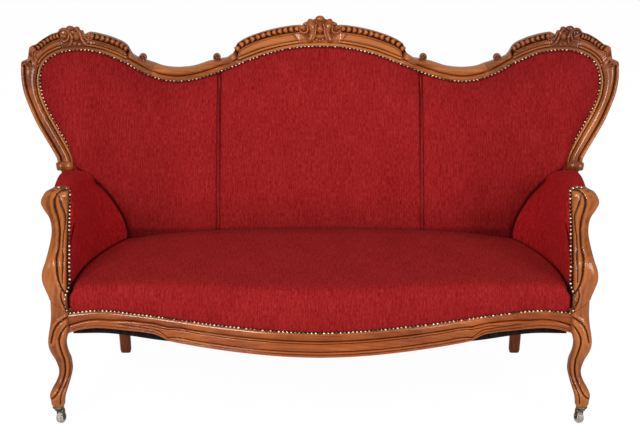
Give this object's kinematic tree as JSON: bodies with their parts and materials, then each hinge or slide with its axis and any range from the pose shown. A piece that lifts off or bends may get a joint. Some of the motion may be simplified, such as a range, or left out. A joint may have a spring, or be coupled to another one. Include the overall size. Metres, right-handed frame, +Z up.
{
  "type": "carved settee",
  "caption": "Three-seat show-wood settee with a triple-arched carved crest, sprung stuffed seat, padded back and arms, cabriole front legs on swivelling casters",
  "frame": {"origin": "on the floor under the middle of the whole settee, centred across its width and its depth", "axes": "+X to the right as seen from the front, -Y out of the front of the seat, +Z up"},
  "size_m": [1.8396, 0.8482, 1.088],
  "materials": {
    "polished_walnut": "polished, honey brown with dark recesses",
    "beech": "plain sawn beech, unpolished",
    "crimson_cloth": "crimson ribbed chenille",
    "black_cloth": "thin black lining cloth",
    "jute_webbing": "woven jute straps",
    "spring_steel": "copper-washed coil springs",
    "old_brass": "aged, dull brass",
    "porcelain": "worn off-white porcelain"
  },
  "bodies": {
    "settee": {"crest_rail_centre": "polished_walnut", "crest_rail_left": "polished_walnut", "crest_rail_right": "polished_walnut", "crest_cartouche_centre": "polished_walnut", "crest_cartouche_left": "polished_walnut", "crest_cartouche_right": "polished_walnut", "back_stile_left": "polished_walnut", "back_stile_right": "polished_walnut", "rear_leg_left": "polished_walnut", "rear_leg_right": "polished_walnut", "front_leg_left": "polished_walnut", "front_leg_right": "polished_walnut", "arm_post_left": "polished_walnut", "arm_post_right": "polished_walnut", "front_seat_rail": "polished_walnut", "side_seat_rail_left": "polished_walnut", "side_seat_rail_right": "polished_walnut", "rear_seat_rail": "beech", "back_lower_rail": "beech", "back_upright_left": "beech", "back_upright_right": "beech", "middle_cross_rail": "beech", "corner_block_front_left": "beech", "corner_block_front_right": "beech", "corner_block_rear_left": "beech", "corner_block_rear_right": "beech", "arm_rail_left": "beech", "arm_rail_right": "beech", "seat_webbing": "jute_webbing", "back_webbing": "jute_webbing", "seat_spring_01": "spring_steel", "seat_spring_02": "spring_steel", "seat_spring_03": "spring_steel", "seat_spring_04": "spring_steel", "seat_spring_05": "spring_steel", "seat_spring_06": "spring_steel", "seat_spring_07": "spring_steel", "seat_spring_08": "spring_steel", "seat_spring_09": "spring_steel", "seat_spring_10": "spring_steel", "seat_upholstery": "crimson_cloth", "back_upholstery": "crimson_cloth", "back_welt_left": "crimson_cloth", "back_welt_right": "crimson_cloth", "outside_back_panel": "crimson_cloth", "arm_upholstery_left": "crimson_cloth", "arm_upholstery_right": "crimson_cloth", "outside_arm_panel_left": "crimson_cloth", "outside_arm_panel_right": "crimson_cloth", "dust_cover": "black_cloth", "caster_socket_left": "old_brass", "caster_socket_right": "old_brass"},
    "caster_left": {"caster_fork_left": "old_brass", "caster_axle_left": "old_brass"},
    "wheel_left": {"caster_wheel_left": "porcelain"},
    "caster_right": {"caster_fork_right": "old_brass", "caster_axle_right": "old_brass"},
    "wheel_right": {"caster_wheel_right": "porcelain"}
  },
  "joints": [
    {"name": "caster_swivel_left", "type": "hinge", "parent": "settee", "child": "caster_left", "pos_m": [-0.759, -0.33, 0.045], "axis": [0, 0, 1], "continuous": true},
    {"name": "wheel_spin_left", "type": "hinge", "parent": "caster_left", "child": "wheel_left", "pos_m": [-0.7529, -0.31852, 0.017], "axis": [-0.8829, 0.4695, 0], "continuous": true},
    {"name": "caster_swivel_right", "type": "hinge", "parent": "settee", "child": "caster_right", "pos_m": [0.759, -0.33, 0.045], "axis": [0, 0, 1], "continuous": true},
    {"name": "wheel_spin_right", "type": "hinge", "parent": "caster_right", "child": "wheel_right", "pos_m": [0.7529, -0.31852, 0.017], "axis": [-0.8829, -0.4695, 0], "continuous": true}
  ]
}
